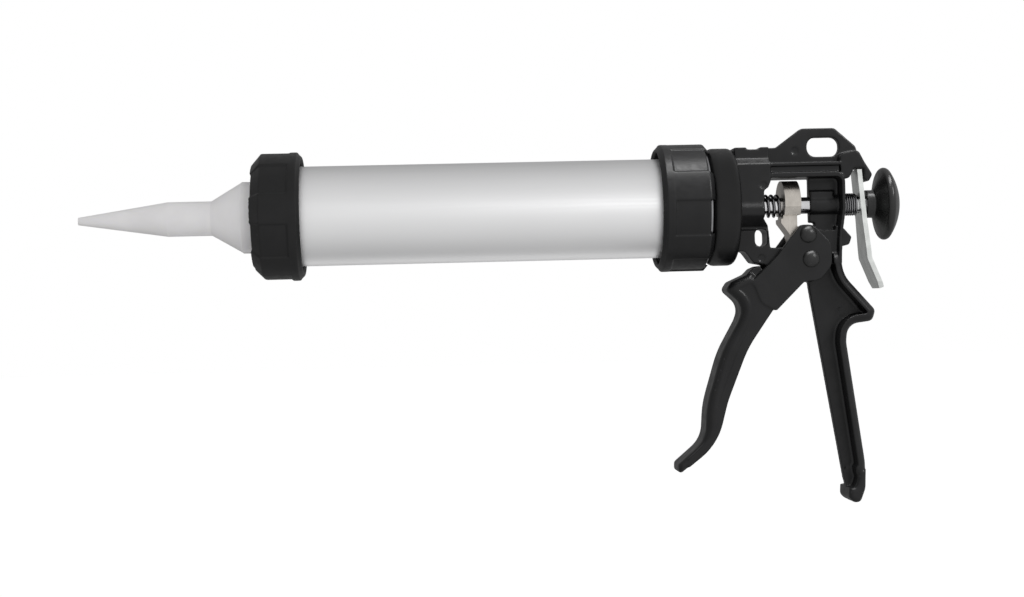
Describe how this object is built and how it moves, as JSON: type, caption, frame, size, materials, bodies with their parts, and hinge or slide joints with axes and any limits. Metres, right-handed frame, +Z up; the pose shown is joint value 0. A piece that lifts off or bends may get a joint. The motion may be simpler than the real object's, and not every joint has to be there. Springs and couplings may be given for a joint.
{
  "type": "bulk caulking gun",
  "caption": "Sealant gun with an aluminium barrel, screwed end rings, a plate-driven push rod and a squeeze trigger.",
  "frame": {"origin": "on the barrel and rod axis, at the casting's front face where the swivel disc bears", "axes": "+X towards the pull knob at the back, -X towards the nozzle, +Z up, +Y to the far side with the handle hanging along -Z"},
  "size_m": [0.4386, 0.0682, 0.2013],
  "materials": {
    "black_casting": "satin powder coat",
    "black_steel": "satin black",
    "dark_steel": "dark oiled",
    "black_plastic": "satin moulded",
    "gloss_plastic": "gloss moulded",
    "piston_plastic": "moulded",
    "milky_plastic": "translucent",
    "aluminium": "satin drawn",
    "zinc_steel": "zinc plated",
    "polished_steel": "polished",
    "ground_steel": "ground",
    "spring_steel": "dark"
  },
  "bodies": {
    "body": {"casting": "black_casting", "pivot_rivet": "black_steel", "swivel_washer": "zinc_steel", "swivel_circlip": "dark_steel"},
    "swivel": {"swivel_disc": "black_plastic", "backing_plate": "dark_steel", "hub_circlip": "dark_steel"},
    "rear_ring": {"rear_ring": "black_plastic"},
    "barrel": {"barrel": "aluminium", "front_thread_collar": "aluminium", "rear_thread_collar": "aluminium"},
    "nozzle": {"nozzle": "milky_plastic"},
    "front_ring": {"front_ring": "black_plastic"},
    "rod": {"push_rod": "polished_steel", "piston": "piston_plastic", "piston_nut": "zinc_steel", "piston_washer": "zinc_steel", "pull_knob": "gloss_plastic", "knob_pin": "zinc_steel"},
    "trigger": {"trigger": "black_casting", "drive_rivet": "black_steel"},
    "drive_roller": {"drive_roller": "dark_steel"},
    "drive_plate": {"drive_plate": "ground_steel", "drive_spring": "spring_steel"},
    "release_plate": {"release_plate": "zinc_steel", "release_spring": "spring_steel"}
  },
  "joints": [
    {"name": "barrel_swivel", "type": "hinge", "parent": "body", "child": "swivel", "pos_m": [0, 0, 0], "axis": [1, 0, 0], "continuous": true},
    {"name": "rear_ring_turn", "type": "hinge", "parent": "swivel", "child": "rear_ring", "pos_m": [0, 0, 0], "axis": [1, 0, 0], "range_deg": [0, 720]},
    {"name": "barrel_advance", "type": "slide", "parent": "swivel", "child": "barrel", "axis": [-1, 0, 0], "range_m": [0, 0.0061]},
    {"name": "nozzle_advance", "type": "slide", "parent": "barrel", "child": "nozzle", "axis": [-1, 0, 0], "range_m": [0, 0.0061]},
    {"name": "front_ring_turn", "type": "hinge", "parent": "nozzle", "child": "front_ring", "pos_m": [0, 0, 0], "axis": [1, 0, 0], "range_deg": [0, 720]},
    {"name": "rod_travel", "type": "slide", "parent": "body", "child": "rod", "axis": [1, 0, 0], "range_m": [0, 0.2]},
    {"name": "trigger_squeeze", "type": "hinge", "parent": "body", "child": "trigger", "pos_m": [0.0393, 0, -0.0291], "axis": [0, -1, 0], "range_deg": [0, 26], "stiffness_Nm_per_rad": 0.6, "springref_deg": -20.05},
    {"name": "roller_spin", "type": "hinge", "parent": "trigger", "child": "drive_roller", "pos_m": [0.0381, 0, -0.016], "axis": [0, 1, 0], "continuous": true},
    {"name": "drive_stroke", "type": "slide", "parent": "body", "child": "drive_plate", "axis": [-1, 0, 0], "range_m": [0, 0.0058], "deforming": ["drive_spring"]},
    {"name": "release_tilt", "type": "hinge", "parent": "body", "child": "release_plate", "pos_m": [0.068, 0, 0.0178], "axis": [0, 1, 0], "range_deg": [0, 7], "stiffness_Nm_per_rad": 0.4, "springref_deg": -6.88, "deforming": ["release_spring"]}
  ],
  "couplings": [
    {"joint": "barrel_advance", "follows": "rear_ring_turn", "m_per_rad": 0.00047746},
    {"joint": "nozzle_advance", "follows": "front_ring_turn", "m_per_rad": 0.00047746},
    {"joint": "drive_stroke", "follows": "trigger_squeeze", "m_per_rad": 0.0126}
  ]
}
